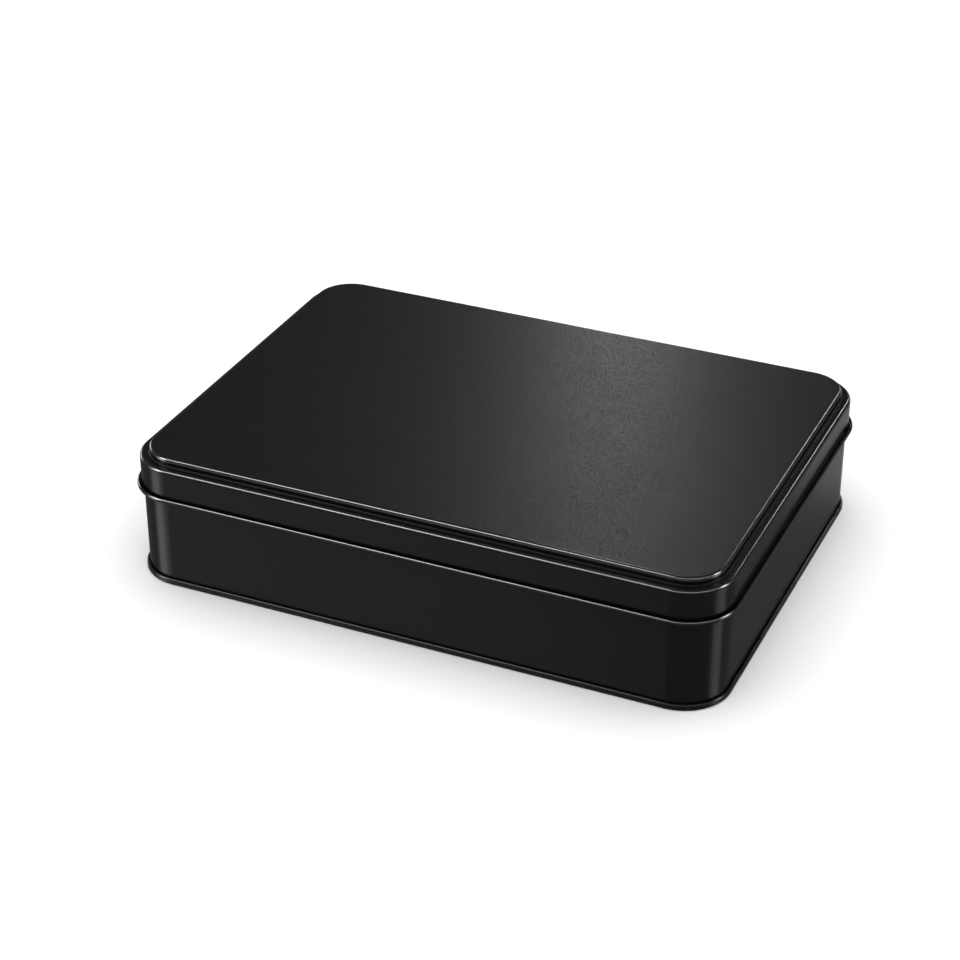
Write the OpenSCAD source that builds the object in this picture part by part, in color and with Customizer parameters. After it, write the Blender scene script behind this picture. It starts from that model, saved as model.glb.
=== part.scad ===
// Rectangular tinplate box with a hinged, stepped lid.
// Origin: centre of the footprint on the surface the tin stands on.
// +X along the length, +Y towards the hinge, +Z up. Millimetres.

/* [Overall] */
// Length over the lid's rolled edge
tin_length = 190; // [150:1:230]
// Depth over the lid's rolled edge, front to hinge
tin_depth = 140; // [110:1:180]
// Height from the standing surface to the top of the lid
tin_height = 42; // [32:1:60]
// Radius of the upright corners, outside the body wall
corner_radius = 14; // [9:1:25]
// Thickness of the tinplate sheet
sheet = 0.25; // [0.2:0.01:0.3]

/* [Lid] */
// Height of the lid, from its rolled edge to its top
lid_height = 13.2; // [9:0.1:16]
// Height of the raised panel above the ledge round it
panel_rise = 2.5; // [1.8:0.1:3.5]
// Distance from the skirt's outside to the raised panel's upright edge
ledge_width = 3; // [2.6:0.1:6]
// Outside radius of the raised panel's edge
panel_edge_radius = 0.9; // [0.6:0.1:1.2]
// Inside radius of the groove at the foot of the panel's edge
groove_radius = 0.35; // [0.25:0.05:0.6]
// Outside radius where the ledge turns down into the skirt
shoulder_radius = 1; // [0.6:0.1:1.4]
// Gap between the lid's skirt and the body wall
skirt_clearance = 0.4; // [0.35:0.05:0.6]
// Gap between the closed lid and the body's rim
rim_clearance = 0.25; // [0.15:0.05:0.4]
// How far the lid's lower edge is rolled outwards and up, in degrees
lid_roll = 240; // [225:5:300]

/* [Body] */
// Outside diameter of the body's rim, rolled inwards
rim_curl = 1.6; // [1.3:0.1:2]
// How far the body's rim is rolled, in degrees
rim_roll = 305; // [270:5:315]
// Width of the folded side seam in the middle of the back wall
side_seam_width = 4.5; // [3:0.5:7]
// How far the folded side seam stands in from the wall
side_seam_depth = 0.5; // [0.4:0.05:0.75]
// Width of the fine line that the side seam shows outside
side_seam_line = 0.3; // [0.2:0.05:0.5]
// Depth of that line
side_seam_line_depth = 0.1; // [0.05:0.01:0.15]

/* [Bottom seam] */
// Height of the double seam that joins wall and bottom
seam_height = 2; // [1.8:0.1:3.2]
// Gap between the layers of the double seam
seam_gap = 0.08; // [0.04:0.01:0.12]
// Outside radius of the bend that the tin stands on
seam_foot_radius = 0.65; // [0.6:0.01:0.7]
// Height of the bottom panel's underside above the standing surface
bottom_recess = 2.6; // [2:0.1:4]
// Distance from the wall's outside to the stiffening step in the bottom
stiffener_inset = 6; // [4:0.5:10]
// Depth of the stiffening step in the bottom
stiffener_depth = 0.8; // [0.6:0.1:1.2]

/* [Hinge] */
// Diameter of the hinge wires
wire_diameter = 1; // [0.8:0.05:1.2]
// Radial gap between a wire and what is rolled round it
wire_clearance = 0.05; // [0.02:0.01:0.1]
// Length of each hinge wire
wire_length = 32; // [24:1:44]
// Distance between the middles of the two hinges
hinge_spacing = 96; // [60:1:100]
// Width of each tongue that the body wall rolls round a wire
tongue_width = 12; // [8:1:16]
// How far each tongue is rolled round its wire, in degrees
tongue_roll = 300; // [270:5:320]
// Gap on each side of a tongue, in the notch of the lid's rolled edge
notch_clearance = 0.3; // [0.2:0.05:0.6]

/* [Hidden] */
$fn = 64;
lacquer = [0.07, 0.07, 0.075];
steel = [0.62, 0.62, 0.6];

// Offsets are measured outwards from the outside of the body wall.
bore_radius = wire_diameter / 2 + wire_clearance;
curl_radius = bore_radius + sheet;
curl_offset = skirt_clearance + curl_radius;
curl_height = tin_height - lid_height + curl_radius;
outermost = curl_offset + curl_radius;
skirt_outside = skirt_clearance + sheet;

// Plan of the body wall's outside, and the centres of its corners.
wall_length = tin_length - 2 * outermost;
wall_depth = tin_depth - 2 * outermost;
corner_x = wall_length / 2 - corner_radius;
corner_y = wall_depth / 2 - corner_radius;
hinge_y = wall_depth / 2 + curl_offset;

// Turned corners start this far from their axis, and the flat middle sheet laps over their start.
turn_start = 1;

// Lid heights and offsets.
ledge_top = tin_height - panel_rise;
panel_edge = skirt_outside - ledge_width;

// Body rim: its top lies just under the ledge.
rim_top = ledge_top - sheet - rim_clearance;
rim_bore = rim_curl / 2 - sheet;
rim_height = rim_top - rim_curl / 2;

// Double seam: chuck wall, body wall, cover hook, body hook and outer wall, from inside out.
cover_hook = seam_gap;
body_hook = cover_hook + sheet + seam_gap;
seam_wall = body_hook + sheet + seam_gap;
seam_outside = seam_wall + sheet;
chuck_wall = -2 * sheet - seam_gap;
foot_in = chuck_wall + seam_foot_radius;
foot_out = seam_outside - seam_foot_radius;
foot_bore = seam_foot_radius - sheet;
body_turn_bore = foot_bore - seam_gap - sheet;
seam_top_radius = (seam_outside - cover_hook) / 2;
seam_top_height = seam_height - seam_top_radius;
hook_play = 0.1;
bottom_bend = 0.6;
step_bend = (stiffener_depth - sheet) / 2;

// Hinge tongue: it rises inside its window, leaves the wall in an S-bend and rolls over the wire.
tongue_relief = 0.4;
tongue_stem = 0.6;
tongue_bend_angle = 45;
tongue_shift = skirt_clearance + sheet;
tongue_bend_mean = tongue_shift / (2 * (1 - cos(tongue_bend_angle)));
tongue_bend_bore = tongue_bend_mean - sheet / 2;
tongue_rise = 2 * tongue_bend_mean * sin(tongue_bend_angle);
tongue_straight = curl_radius;
tongue_root = curl_height - tongue_straight - tongue_rise;
tongue_flat_length = tongue_stem + 2 * tongue_bend_mean * tongue_bend_angle * PI / 180
    + tongue_straight + tongue_roll * PI / 180 * (curl_radius - sheet / 2);
notch_relief = 0.4;
notch_rise = curl_radius + notch_relief;

// Part of a disc between two angles, wide enough to cut a ring of radius r.
module sector(r, from, to) {
    steps = ceil((to - from) / 45);
    polygon([[0, 0], for (i = [0 : steps]) 2 * r * [
        cos(from + (to - from) * i / steps),
        sin(from + (to - from) * i / steps)
    ]]);
}

// Sheet bent round a centre, with its inner face at radius bore.
module bend(centre, bore, from, to) {
    translate(centre) intersection() {
        difference() {
            circle(bore + sheet);
            circle(bore);
        }
        sector(bore + sheet, from, to);
    }
}

// Straight stretch of a section, given by two opposite corners.
module strip(low, high) {
    translate(low) square(high - low);
}

// Runs a section, drawn as offset and height, round the plan of the tin.
module run_round() {
    for (quarter = [0 : 3]) {
        sx = quarter == 0 || quarter == 3 ? 1 : -1;
        sy = quarter < 2 ? 1 : -1;
        side = quarter % 2 == 0 ? 2 * corner_y : 2 * corner_x;
        translate([sx * corner_x, sy * corner_y, 0]) rotate(90 * quarter) {
            rotate_extrude(angle = 90) translate([corner_radius, 0]) children();
            rotate([90, 0, 0]) linear_extrude(side) translate([corner_radius, 0]) children();
        }
    }
}

// Flat sheet inside the run round the plan, from height low to low + sheet.
module middle_sheet(low) {
    reach = [corner_x, corner_y] + 2 * turn_start * [1, 1];
    translate([-reach.x, -reach.y, low]) cube([2 * reach.x, 2 * reach.y, sheet]);
}

// Places a shape at both hinges.
module at_hinges() {
    for (side = [-1, 1]) translate([side * hinge_spacing / 2, 0, 0]) children();
}

// Section of the lid: raised panel, upright step, groove, ledge, shoulder, skirt and rolled edge.
module lid_section() {
    panel_turn = [panel_edge - panel_edge_radius, tin_height - panel_edge_radius];
    groove_turn = [panel_edge + groove_radius, ledge_top + groove_radius];
    shoulder_turn = [skirt_outside - shoulder_radius, ledge_top - shoulder_radius];
    strip([turn_start - corner_radius, tin_height - sheet], [panel_turn.x, tin_height]);
    bend(panel_turn, panel_edge_radius - sheet, 0, 90);
    strip([panel_edge - sheet, groove_turn.y], [panel_edge, panel_turn.y]);
    bend(groove_turn, groove_radius, 180, 270);
    strip([groove_turn.x, ledge_top - sheet], [shoulder_turn.x, ledge_top]);
    bend(shoulder_turn, shoulder_radius - sheet, 0, 90);
    strip([skirt_clearance, curl_height], [skirt_outside, shoulder_turn.y]);
    bend([curl_offset, curl_height], bore_radius, -180, lid_roll - 180);
}

// Notches in the rolled edge, where the body's tongues reach the wires.
module lid_notches() {
    low = curl_height - 2 * curl_radius;
    at_hinges() translate([-tongue_width / 2 - notch_clearance, hinge_y - 2 * curl_radius, low])
        cube([tongue_width + 2 * notch_clearance, 4 * curl_radius, curl_height + notch_rise - low]);
}

module lid() {
    color(lacquer) difference() {
        union() {
            run_round() lid_section();
            middle_sheet(tin_height - sheet);
        }
        lid_notches();
    }
}

// Section of the body wall: hook of the double seam, wall, and rim rolled inwards.
module body_section() {
    turn_low = sheet + seam_gap;
    strip([body_hook, seam_foot_radius], [body_hook + sheet, seam_top_height]);
    bend([foot_out, seam_foot_radius], body_turn_bore, 270, 360);
    strip([foot_in, turn_low], [foot_out, turn_low + sheet]);
    bend([foot_in, seam_foot_radius], body_turn_bore, 180, 270);
    strip([-sheet, seam_foot_radius], [0, rim_height]);
    bend([-rim_curl / 2, rim_height], rim_bore, 0, rim_roll);
}

// Side view of a tongue: offset to the right, height up.
module tongue_section() {
    low_turn = [tongue_bend_bore, tongue_root];
    high_turn = [skirt_outside - tongue_bend_bore - sheet, tongue_root + tongue_rise];
    strip([-sheet, tongue_root - tongue_stem - sheet], [0, tongue_root]);
    bend(low_turn, tongue_bend_bore, 180 - tongue_bend_angle, 180);
    bend(high_turn, tongue_bend_bore, -tongue_bend_angle, 0);
    strip([skirt_clearance, high_turn.y], [skirt_outside, curl_height]);
    bend([curl_offset, curl_height], bore_radius, 180 - tongue_roll, 180);
}

// The two tongues, rolled over the hinge wires.
module tongues() {
    at_hinges() translate([-tongue_width / 2, wall_depth / 2, 0])
        rotate([90, 0, 90]) linear_extrude(tongue_width) tongue_section();
}

// The windows that the tongues were cut from.
module tongue_windows() {
    width = tongue_width + 2 * tongue_relief;
    at_hinges() translate([-width / 2, wall_depth / 2 - 2 * sheet, tongue_root - tongue_stem])
        cube([width, 3 * sheet, tongue_flat_length + tongue_relief]);
}

// Folded side seam: a flat band inside the back wall.
module side_seam_band() {
    low = bottom_recess + 2 * sheet;
    high = rim_top - rim_curl - sheet;
    round_r = side_seam_depth / 2;
    translate([0, wall_depth / 2 - sheet - round_r, low]) linear_extrude(high - low) {
        square([side_seam_width - side_seam_depth, side_seam_depth], center = true);
        for (side = [-1, 1]) translate([side * (side_seam_width / 2 - round_r), 0]) circle(round_r);
        translate([0, round_r]) square([side_seam_width - side_seam_depth, sheet], center = true);
    }
}

// The seam's fine line on the outside of the back wall.
module side_seam_groove() {
    translate([-side_seam_line / 2, wall_depth / 2 - side_seam_line_depth, seam_height + seam_gap])
        cube([side_seam_line, sheet, rim_height - seam_height - seam_gap]);
}

module body_wall() {
    color(lacquer) union() {
        difference() {
            run_round() body_section();
            tongue_windows();
            side_seam_groove();
        }
        tongues();
        side_seam_band();
    }
}

// Section of the bottom plate: panel, stiffening step, chuck wall, foot, outer wall and cover hook.
module bottom_section() {
    step_out = -stiffener_inset;
    step_in = step_out - stiffener_depth;
    panel_low = bottom_recess - stiffener_depth;
    strip([turn_start - corner_radius, panel_low], [step_in, panel_low + sheet]);
    bend([step_in, panel_low + sheet + step_bend], step_bend, 270, 360);
    bend([step_out, bottom_recess - step_bend], step_bend, 90, 180);
    strip([step_out, bottom_recess], [chuck_wall - bottom_bend, bottom_recess + sheet]);
    bend([chuck_wall - bottom_bend, bottom_recess - bottom_bend], bottom_bend, 0, 90);
    strip([chuck_wall, seam_foot_radius], [chuck_wall + sheet, bottom_recess - bottom_bend]);
    bend([foot_in, seam_foot_radius], foot_bore, 180, 270);
    strip([foot_in, 0], [foot_out, sheet]);
    bend([foot_out, seam_foot_radius], foot_bore, 270, 360);
    strip([seam_wall, seam_foot_radius], [seam_outside, seam_top_height]);
    bend([(cover_hook + seam_outside) / 2, seam_top_height], seam_top_radius - sheet, 0, 180);
    strip([cover_hook, 2 * sheet + seam_gap + hook_play], [cover_hook + sheet, seam_top_height]);
}

module bottom_plate() {
    color(lacquer) union() {
        run_round() bottom_section();
        middle_sheet(bottom_recess - stiffener_depth);
    }
}

// Hinge wire, lying along X through the tongue and the lid's rolled edge.
module hinge_wire(side) {
    color(steel) translate([side * hinge_spacing / 2, hinge_y, curl_height])
        rotate([0, 90, 0]) cylinder(h = wire_length, d = wire_diameter, center = true);
}

lid();
body_wall();
bottom_plate();
hinge_wire(-1);  // hinge_wire_left
hinge_wire(1);  // hinge_wire_right
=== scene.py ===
# Looks of a black lacquered tin with a hinged lid: sheet-metal pieces, finishes, floor, lights and camera.
# Everything is in metres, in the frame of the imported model.
import math

import bmesh
import bpy
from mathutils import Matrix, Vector


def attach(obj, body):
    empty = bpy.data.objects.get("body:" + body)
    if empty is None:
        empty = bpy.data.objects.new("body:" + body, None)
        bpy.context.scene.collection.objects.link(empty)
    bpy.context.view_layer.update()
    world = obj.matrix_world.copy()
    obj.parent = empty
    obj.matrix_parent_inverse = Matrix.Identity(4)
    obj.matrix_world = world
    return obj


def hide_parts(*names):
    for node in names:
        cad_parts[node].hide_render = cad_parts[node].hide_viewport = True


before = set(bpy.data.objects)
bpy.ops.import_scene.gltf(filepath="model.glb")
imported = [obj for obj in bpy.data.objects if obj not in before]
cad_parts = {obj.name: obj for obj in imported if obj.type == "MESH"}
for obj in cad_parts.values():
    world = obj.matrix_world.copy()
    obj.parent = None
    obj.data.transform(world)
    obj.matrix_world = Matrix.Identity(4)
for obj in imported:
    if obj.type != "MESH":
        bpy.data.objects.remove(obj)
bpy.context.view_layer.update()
MM = 0.001


def toward(azimuth, elevation):
    """The way from the tin to a place round it. Azimuth 0 is in front and 90 on its right, in degrees."""
    round_it, up = math.radians(azimuth), math.radians(elevation)
    flat = math.cos(up)
    return Vector((math.sin(round_it) * flat, -math.cos(round_it) * flat, math.sin(up)))


def add_object(name, data):
    """Puts a mesh, light or camera into the scene."""
    made = bpy.data.objects.new(name, data)
    bpy.context.scene.collection.objects.link(made)
    return made


def add_mesh(name, mesh):
    """Puts a modelled mesh into the scene as a piece."""
    data = bpy.data.meshes.new(name)
    mesh.to_mesh(data)
    mesh.free()
    return add_object(name, data)


# Camera, fitted to the photograph: the tin's silhouette and its long edges set the view.
VIEW_AZIMUTH, VIEW_ELEVATION = 23.88, 30.23
VIEW_DISTANCE = 734.8 * MM
VIEW_AIM = Vector((0, 0, 20 * MM))
VIEW_SLIDE = Vector((-6.88 * MM, -1.11 * MM, 0))
LENS_MM = 88.9
SENSOR_MM = 36.0
SEEN_FROM, SEEN_TO = 0.01, 50


def add_camera():
    """Makes the camera at the photograph's viewing angle."""
    data = bpy.data.cameras.new("camera")
    data.lens = LENS_MM
    data.sensor_width = SENSOR_MM
    data.clip_start, data.clip_end = SEEN_FROM, SEEN_TO
    camera = add_object("camera", data)
    back = toward(VIEW_AZIMUTH, VIEW_ELEVATION)
    turn = (-back).to_track_quat("-Z", "Y")
    camera.location = VIEW_AIM + back * VIEW_DISTANCE + turn @ VIEW_SLIDE
    camera.rotation_euler = turn.to_euler()
    bpy.context.scene.camera = camera


class Socket:
    """A socket of a material's node tree, with arithmetic that adds Math nodes."""

    def __init__(self, shader, socket):
        self.shader, self.socket = shader, socket

    def math(self, operation, *values):
        return self.shader.node("ShaderNodeMath", {"operation": operation}, *values)[0]

    def __add__(self, other):
        return self.math("ADD", self, other)

    def __sub__(self, other):
        return self.math("SUBTRACT", self, other)

    def __rsub__(self, other):
        return self.math("SUBTRACT", other, self)

    def __mul__(self, other):
        return self.math("MULTIPLY", self, other)

    def __pow__(self, other):
        return self.math("POWER", self, other)

    __radd__, __rmul__ = __add__, __mul__

    def size(self):
        return self.math("ABSOLUTE", self)

    def no_less(self, low):
        return self.math("MAXIMUM", self, low)

    def above(self, edge, width):
        """0 below the edge and 1 above it, with a soft step of that width."""
        spread = {"interpolation_type": "SMOOTHSTEP"}
        low, high = edge - width / 2, edge + width / 2
        return self.shader.node("ShaderNodeMapRange", spread, self, low, high, 0, 1)[0]


class Shader:
    """A material under construction: a Principled shader and the nodes that feed it."""

    OBJECT_COORDINATES = 3  # which output of the Texture Coordinate node

    def __init__(self, name, **constants):
        self.material = bpy.data.materials.new(name)
        self.material.use_nodes = True
        self.tree = self.material.node_tree
        self.principled = next(n for n in self.tree.nodes if n.type == "BSDF_PRINCIPLED")
        for socket_name, value in constants.items():
            self.principled.inputs[socket_name.replace("_", " ")].default_value = value

    def node(self, kind, settings=None, *values, **named):
        """Adds a node, sets it, then links or sets its inputs; gives its outputs."""
        made = self.tree.nodes.new(kind)
        for key, value in (settings or {}).items():
            setattr(made, key, value)
        places = list(enumerate(values)) + [(k.replace("_", " "), v) for k, v in named.items()]
        for place, value in places:
            if isinstance(value, Socket):
                self.tree.links.new(value.socket, made.inputs[place])
            else:
                made.inputs[place].default_value = value
        return [Socket(self, out) for out in made.outputs if out.enabled]

    def feed(self, socket_name, value):
        self.tree.links.new(value.socket, self.principled.inputs[socket_name])

    def place(self):
        """Object coordinates, in metres."""
        return self.node("ShaderNodeTexCoord")[self.OBJECT_COORDINATES]

    def noise(self, where, scale, detail=2.0):
        return self.node("ShaderNodeTexNoise", None, Vector=where, Scale=scale, Detail=detail)[0]

    def bump(self, height, distance):
        self.feed("Normal", self.node("ShaderNodeBump", None, Distance=distance, Height=height)[0])


# Plan of the body wall's outside, in millimetres.
CORNER_RADIUS = 14
WALL_LENGTH, WALL_DEPTH = 186, 136
CORNER_X, CORNER_Y = WALL_LENGTH / 2 - CORNER_RADIUS, WALL_DEPTH / 2 - CORNER_RADIUS

# Finish of the lacquer: a matte, finely wrinkled panel, satin walls and ledge, glazed bends,
# and a duller groove and bottom seam.
# Each zone is given as its reach out from the wall's outside and its heights, in millimetres.
LACQUER = (0.0035, 0.0035, 0.0036, 1)
ZONE_BLUR = 0.1
PANEL_ZONE = (-90, -3.4, 41.85, 43)
GROOVE_ZONE = (-2.45, -1.7, 39.4, 39.95)
SEAM_ZONE = (0.05, 2, -1, 2.1)
SEAM_TOP_ZONE = (0.1, 2, 1.55, 2.1)
BEND_ZONES = {
    "panel edge": (-3.35, -2.2, 41.0, 41.98),
    "shoulder": (-0.4, 0.8, 38.8, 39.48),
    "rolled edge": (0.75, 3, 29.7, 31),
    "rim": (-3, 0.2, 38.2, 39.1),
}
# The glaze is a clear coat, full on the bends and thin on top of the seam.
GLAZE_IOR = 3.2
GLAZE_ROUGHNESS = 0.2
SEAM_GLAZE = 0.3
# Roughness of the satin, and what cloudiness, zones and wrinkles add to it.
SATIN = 0.21
CLOUDINESS = 0.03
SEAM_DULLNESS = 0.05
GROOVE_DULLNESS = 0.12
PANEL_DULLNESS = 0.13
WRINKLE_DULLNESS = 0.11
CLOUDS_PER_METRE = 35
# Wrinkles run where a fine noise passes through its middle.
WRINKLES_PER_METRE = 1250
WRINKLE_DETAIL = 1
NOISE_MIDDLE = 0.5
WRINKLE_EDGE = 0.03
WRINKLE_WIDTH = 0.07
WRINKLE_DEPTH = 0.02 * MM


def black_lacquer():
    """Black lacquer on tinplate: wrinkled on the panel, glazed on the bends, dull in groove and seam."""
    shader = Shader(
        "black_lacquer", Base_Color=LACQUER, Coat_IOR=GLAZE_IOR, Coat_Roughness=GLAZE_ROUGHNESS
    )
    where = shader.place()
    x, y, z = shader.node("ShaderNodeSeparateXYZ", None, where)
    past_x = (x.size() - CORNER_X * MM).no_less(0)
    past_y = (y.size() - CORNER_Y * MM).no_less(0)
    out = (past_x * past_x + past_y * past_y) ** 0.5 - CORNER_RADIUS * MM

    def zone(near, far, low, high):
        blur = ZONE_BLUR * MM
        across = out.above(near * MM, blur) * (1 - out.above(far * MM, blur))
        return across * z.above(low * MM, blur) * (1 - z.above(high * MM, blur))

    panel, groove, seam = zone(*PANEL_ZONE), zone(*GROOVE_ZONE), zone(*SEAM_ZONE)
    glaze = sum(zone(*bounds) for bounds in BEND_ZONES.values()) + SEAM_GLAZE * zone(*SEAM_TOP_ZONE)
    shader.feed("Coat Weight", glaze)
    fine = shader.noise(where, WRINKLES_PER_METRE, WRINKLE_DETAIL)
    wrinkle = 1 - (fine - NOISE_MIDDLE).size().above(WRINKLE_EDGE, WRINKLE_WIDTH)
    cloud = shader.noise(where, CLOUDS_PER_METRE)
    panel_dullness = panel * (PANEL_DULLNESS + WRINKLE_DULLNESS * wrinkle)
    dull = SEAM_DULLNESS * seam + GROOVE_DULLNESS * groove + panel_dullness
    shader.feed("Roughness", SATIN + CLOUDINESS * cloud + dull)
    shader.bump(wrinkle * panel, WRINKLE_DEPTH)
    return shader.material


# The hinge wires: drawn along the tin's length, so their fine lines run along X.
STEEL = (0.55, 0.55, 0.54, 1)
LINES_PER_METRE = (60, 2500, 2500)
LINE_SCALE = 1.0
WIRE_ROUGHNESS = 0.25
LINE_ROUGHNESS = 0.12


def steel():
    """Bright drawn wire, with fine lines along it."""
    shader = Shader("steel_wire", Metallic=1.0, Base_Color=STEEL)
    along = shader.node("ShaderNodeMapping", None, Vector=shader.place(), Scale=LINES_PER_METRE)[0]
    shader.feed("Roughness", WIRE_ROUGHNESS + LINE_ROUGHNESS * shader.noise(along, LINE_SCALE))
    return shader.material


# Sheet metal. A section is drawn in millimetres as distance out from the wall's outside, and height.
SHEET = 0.25
CORNER_STEPS = 24
BEND_STEP = 10
FLAT_MARGIN = 0.1
WELD = 0.001
CUT_WELD = 0.0001
CREASE = math.radians(30)

# A flat has its reach out and up. A bend has its centre and the degrees that it turns through.
LID_START = (-3.85, 42)
LID_STEPS = [
    ("flat", (0.6, 0)),  # border of the raised panel
    ("bend", (-3.25, 41.1), -90),  # the panel's edge
    ("flat", (0, -1.25)),  # step down
    ("bend", (-2.0, 39.85), 90),  # groove
    ("flat", (1.65, 0)),  # ledge
    ("bend", (-0.35, 38.5), -90),  # shoulder
    ("flat", (0, -8.9)),  # skirt
    ("bend", (1.2, 29.6), 240),  # roll round the hinge wires
]
BOTTOM_START = (-7.4, 1.8)
BOTTOM_STEPS = [
    ("flat", (0.6, 0)),  # border of the panel
    ("bend", (-6.8, 2.325), 90),  # stiffening step
    ("bend", (-6.0, 2.325), -90),
    ("flat", (4.82, 0)),
    ("bend", (-1.18, 2.0), -90),
    ("flat", (0, -1.35)),  # chuck wall
    ("bend", (0.07, 0.65), 90),  # foot
    ("flat", (0.27, 0)),
    ("bend", (0.34, 0.65), 90),
    ("flat", (0, 0.895)),  # outside of the seam
    ("bend", (0.535, 1.545), 180),  # over the top of the seam
    ("flat", (0, -0.865)),  # hook
]
# The notches in the lid's roll, one for each tongue of the body.
NOTCH_CENTRE, NOTCH_HALF_WIDTH, NOTCH_TOP = 48, 6.3, 30.8
NOTCH_FROM_Y, NOTCH_FROM_Z = 60, 33


def cut_lengths(length):
    """Splits a flat, so that the bends at its ends don't bend its shading too."""
    if length < 3 * FLAT_MARGIN:
        return [length]
    return [FLAT_MARGIN, length - 2 * FLAT_MARGIN, FLAT_MARGIN]


def parts_of(geometry, kind):
    """The vertices or the edges in what an operator gives back."""
    return [part for part in geometry if isinstance(part, kind)]


def draw_section(mesh, start, steps):
    """Pushes a point along the flats and round the bends of a sheet's section, at a front corner."""
    tip = mesh.verts.new((CORNER_X, -WALL_DEPTH / 2 - start[0], start[1]))
    for step in steps:
        if step[0] == "flat":
            way = Vector((0, -step[1][0], step[1][1]))
            for length in cut_lengths(way.length):
                tip = bmesh.ops.extrude_vert_indiv(mesh, verts=[tip])["verts"][0]
                bmesh.ops.translate(mesh, verts=[tip], vec=way.normalized() * length)
            continue
        _, (out, height), degrees = step
        turned = bmesh.ops.spin(
            mesh, geom=[tip], cent=(CORNER_X, -WALL_DEPTH / 2 - out, height), axis=(-1, 0, 0),
            angle=math.radians(degrees), steps=math.ceil(abs(degrees) / BEND_STEP), use_duplicate=False,
        )
        tip = parts_of(turned["geom_last"], bmesh.types.BMVert)[0]


def run_round(mesh):
    """Takes the section round the plan: a turn at each corner, then a straight side."""
    ring = list(mesh.verts) + list(mesh.edges)
    sides = [(0, 1), (-1, 0), (0, -1), (1, 0)]
    corners = [(1, -1), (1, 1), (-1, 1), (-1, -1)]
    for corner, side in zip(corners, sides):
        turned = bmesh.ops.spin(
            mesh, geom=ring, cent=(corner[0] * CORNER_X, corner[1] * CORNER_Y, 0), axis=(0, 0, 1),
            angle=math.radians(90), steps=CORNER_STEPS, use_duplicate=False,
        )
        ring = turned["geom_last"]
        for length in cut_lengths(2 * (abs(side[0]) * CORNER_X + abs(side[1]) * CORNER_Y)):
            edges = parts_of(ring, bmesh.types.BMEdge)
            pushed = bmesh.ops.extrude_edge_only(mesh, edges=edges)["geom"]
            tips = parts_of(pushed, bmesh.types.BMVert)
            bmesh.ops.translate(mesh, verts=tips, vec=Vector((*side, 0)) * length)
            new = set(tips)
            ring = tips + [edge for edge in parts_of(pushed, bmesh.types.BMEdge) if set(edge.verts) <= new]
    bmesh.ops.remove_doubles(mesh, verts=mesh.verts, dist=WELD)


def close_middle(mesh, height):
    """Fills the flat sheet inside the run round the plan."""
    loop = [e for e in mesh.edges if e.is_boundary and all(abs(v.co.z - height) < WELD for v in e.verts)]
    bmesh.ops.edgeloop_fill(mesh, edges=loop)


def cut_notches(mesh):
    """Cuts the lid's roll away at both hinges, at the back."""
    def near(face):
        middle = face.calc_center_median()
        return middle.y > NOTCH_FROM_Y and middle.z < NOTCH_FROM_Z

    def beside(face):
        return abs(abs(face.calc_center_median().x) - NOTCH_CENTRE) < NOTCH_HALF_WIDTH

    def cut(faces, place, across):
        around = {part for face in faces for part in (face, *face.edges, *face.verts)}
        bmesh.ops.bisect_plane(mesh, geom=list(around), dist=CUT_WELD, plane_co=place, plane_no=across)

    for side in (-1, 1):
        for edge in (-1, 1):
            x = side * NOTCH_CENTRE + edge * NOTCH_HALF_WIDTH
            cut([f for f in mesh.faces if near(f)], (x, 0, 0), (1, 0, 0))
    back = [f for f in mesh.faces if f.calc_center_median().y > NOTCH_FROM_Y and beside(f)]
    cut([f for f in back if min(v.co.z for v in f.verts) < NOTCH_TOP], (0, 0, NOTCH_TOP), (0, 0, 1))
    gone = [f for f in mesh.faces if near(f) and beside(f) and f.calc_center_median().z < NOTCH_TOP]
    bmesh.ops.delete(mesh, geom=gone, context="FACES")


def pressed_sheet(name, start, steps, faces_up, finish, notched=False):
    """A pressed tinplate piece: its outer face from the section, then its thickness."""
    mesh = bmesh.new()
    draw_section(mesh, start, steps)
    run_round(mesh)
    close_middle(mesh, start[1])
    bmesh.ops.recalc_face_normals(mesh, faces=mesh.faces)
    middle = max(mesh.faces, key=lambda face: face.calc_area())
    if (middle.normal.z > 0) != faces_up:
        bmesh.ops.reverse_faces(mesh, faces=mesh.faces)
    if notched:
        cut_notches(mesh)
    bmesh.ops.solidify(mesh, geom=list(mesh.faces), thickness=SHEET)
    bmesh.ops.scale(mesh, verts=mesh.verts, vec=Vector((MM, MM, MM)))
    for face in mesh.faces:
        face.smooth = True
    for edge in mesh.edges:
        edge.smooth = edge.calc_face_angle(math.pi) < CREASE
    piece = add_mesh(name, mesh)
    piece.data.materials.append(finish)
    return piece


FLOOR_REACH = 6
FLOOR_COLOUR = (0.9, 0.9, 0.9, 1)


def add_floor():
    """A pale floor. Gloss on the tin reflects the studio round it and not the floor."""
    mesh = bmesh.new()
    bmesh.ops.create_grid(mesh, x_segments=1, y_segments=1, size=FLOOR_REACH)
    floor = add_mesh("floor", mesh)
    shader = Shader("pale_floor", Roughness=1.0, Base_Color=FLOOR_COLOUR, Specular_IOR_Level=0)
    floor.data.materials.append(shader.material)
    floor.visible_glossy = False
    floor.visible_shadow = False


def add_card(name, azimuth, elevation, width, height, distance, radiance, in_gloss=True):
    """A studio light card that faces the tin.

    Width and height are the angles that it fills, seen from the tin. Highlights come from the cards
    that only gloss reflects, and the floor is lit by the others.
    """
    data = bpy.data.lights.new(name, "AREA")
    data.shape = "RECTANGLE"
    data.size = 2 * distance * math.tan(math.radians(width / 2))
    data.size_y = 2 * distance * math.tan(math.radians(height / 2))
    data.energy = radiance * math.pi * data.size * data.size_y
    card = add_object(name, data)
    out = toward(azimuth, elevation)
    card.location = out * distance
    card.rotation_euler = out.to_track_quat("Z", "Y").to_euler()
    card.visible_glossy = in_gloss
    card.visible_diffuse = not in_gloss


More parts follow.
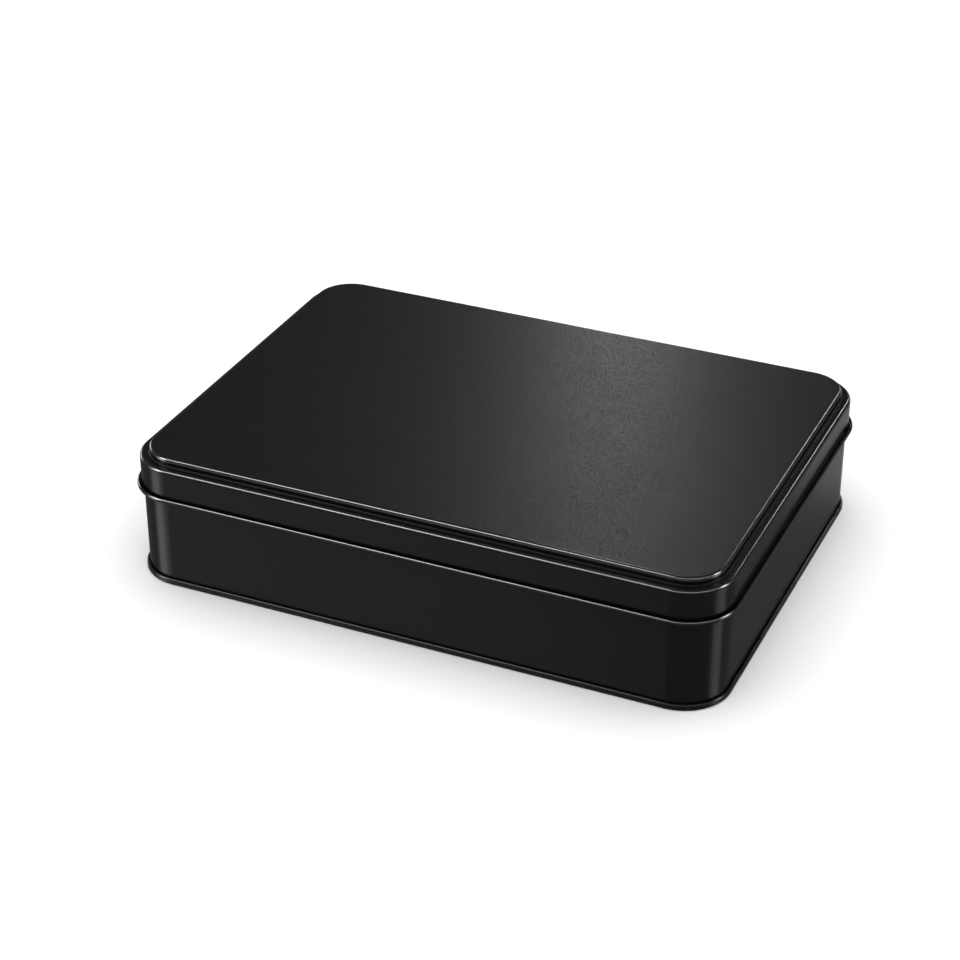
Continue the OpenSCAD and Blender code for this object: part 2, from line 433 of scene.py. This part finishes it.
# Brightness of the dim studio above and below the horizon, and the heights between which it fades.
STUDIO_ABOVE, STUDIO_BELOW = 0.035, 0.11
FADE_FROM, FADE_TO = -0.2, 0.1


def add_world():
    """A dim studio, brighter below the horizon, where gloss would show a pale floor."""
    world = bpy.data.worlds.new("studio")
    world.use_nodes = True
    tree = world.node_tree
    background = next(n for n in tree.nodes if n.type == "BACKGROUND")
    background.inputs["Color"].default_value = (1, 1, 1, 1)
    direction = tree.nodes.new("ShaderNodeTexCoord")
    split = tree.nodes.new("ShaderNodeSeparateXYZ")
    fade = tree.nodes.new("ShaderNodeMapRange")
    ends = {"From Min": FADE_FROM, "From Max": FADE_TO, "To Min": STUDIO_BELOW, "To Max": STUDIO_ABOVE}
    for name, value in ends.items():
        fade.inputs[name].default_value = value
    tree.links.new(direction.outputs["Generated"], split.inputs[0])
    tree.links.new(split.outputs["Z"], fade.inputs["Value"])
    tree.links.new(fade.outputs[0], background.inputs["Strength"])
    bpy.context.scene.world = world


# Studio cards: azimuth, elevation, width and height in degrees, distance in metres, radiance.
CARDS = {
    "front_key": (-38, 52, 22, 14, 1.5, 3.3),
    "corner_card": (34, 47, 80, 10, 1.2, 1.4),
    "left_box": (-54, 30, 16, 20, 1.3, 6),
    "left_strip": (-57, -18, 20, 50, 1.2, 1.05),
    "far_left_card": (-112, 8, 24, 20, 1.3, 1.5),
    "right_box": (104, 29, 12, 18, 1.2, 6.5),
    "right_strip": (98, -22, 20, 40, 1.2, 0.62),
    "panel_strip": (-164.6, 34, 4.2, 40, 0.467, 4.1),
    "panel_fill": (-140, 30, 50, 40, 1.6, 0.045),
    "rim_card": (172, 31, 4, 10, 1.4, 8.5),
    "back_card": (168, -10, 16, 36, 1.0, 0.43),
    "low_card": (-45, -34, 50, 30, 1.2, 0.18),
}
# Cards that light the floor.
FLOOR_CARDS = {
    "overhead": (0, 89, 100, 100, 2.0, 2.05),
}


add_camera()
add_floor()
add_world()
for name, setting in CARDS.items():
    add_card(name, *setting)
for name, setting in FLOOR_CARDS.items():
    add_card(name, *setting, in_gloss=False)

lacquer = black_lacquer()
wire_steel = steel()
for name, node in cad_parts.items():
    node.data.materials.clear()
    node.data.materials.append(wire_steel if "wire" in name else lacquer)

lid_pressing = pressed_sheet("lid_pressing", LID_START, LID_STEPS, True, lacquer, notched=True)
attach(lid_pressing, "lid")
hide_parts("lid")
bottom_pressing = pressed_sheet("bottom_pressing", BOTTOM_START, BOTTOM_STEPS, False, lacquer)
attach(bottom_pressing, "body")
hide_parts("bottom_plate")

bpy.context.scene.view_settings.view_transform = "Standard"
